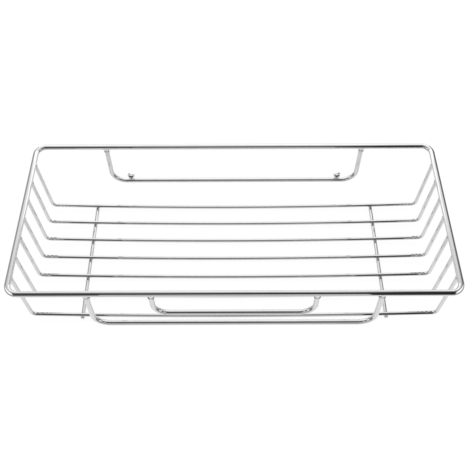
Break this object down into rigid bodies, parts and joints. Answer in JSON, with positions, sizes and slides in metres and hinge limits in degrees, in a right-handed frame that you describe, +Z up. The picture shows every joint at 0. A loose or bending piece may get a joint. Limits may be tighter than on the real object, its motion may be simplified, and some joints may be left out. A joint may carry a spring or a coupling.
{
  "type": "bathroom wall basket",
  "caption": "Shallow rectangular basket of welded chrome wire with an open top, a slatted wire floor, a U-shaped rear bracket with small screw lugs and nested U-shaped guards at the front.",
  "frame": {"origin": "midway between the two screw holes of the lugs, on the plane of the wall", "axes": "+Z up, +X to the right as seen from the front, +Y into the wall, so the basket stands out along -Y"},
  "size_m": [0.33, 0.145, 0.0649],
  "materials": {
    "rim_chrome": "polished chrome plate on 4.5 mm steel wire",
    "guard_chrome": "polished chrome plate on 4 mm steel wire",
    "thin_wire_chrome": "polished chrome plate on 3 mm steel wire",
    "lug_chrome": "chrome plate, slightly duller, on small steel rings"
  },
  "bodies": {
    "root": {"rim": "rim_chrome", "floor_wire_1": "thin_wire_chrome", "floor_wire_2": "thin_wire_chrome", "floor_wire_3": "thin_wire_chrome", "floor_wire_4": "thin_wire_chrome", "floor_wire_5": "thin_wire_chrome", "floor_wire_6": "thin_wire_chrome", "floor_wire_7": "thin_wire_chrome", "cross_wire_left": "thin_wire_chrome", "cross_wire_right": "thin_wire_chrome", "rear_bracket": "guard_chrome", "front_guard_wide": "guard_chrome", "front_guard_small": "guard_chrome", "screw_lug_left": "lug_chrome", "screw_lug_right": "lug_chrome"}
  },
  "joints": []
}
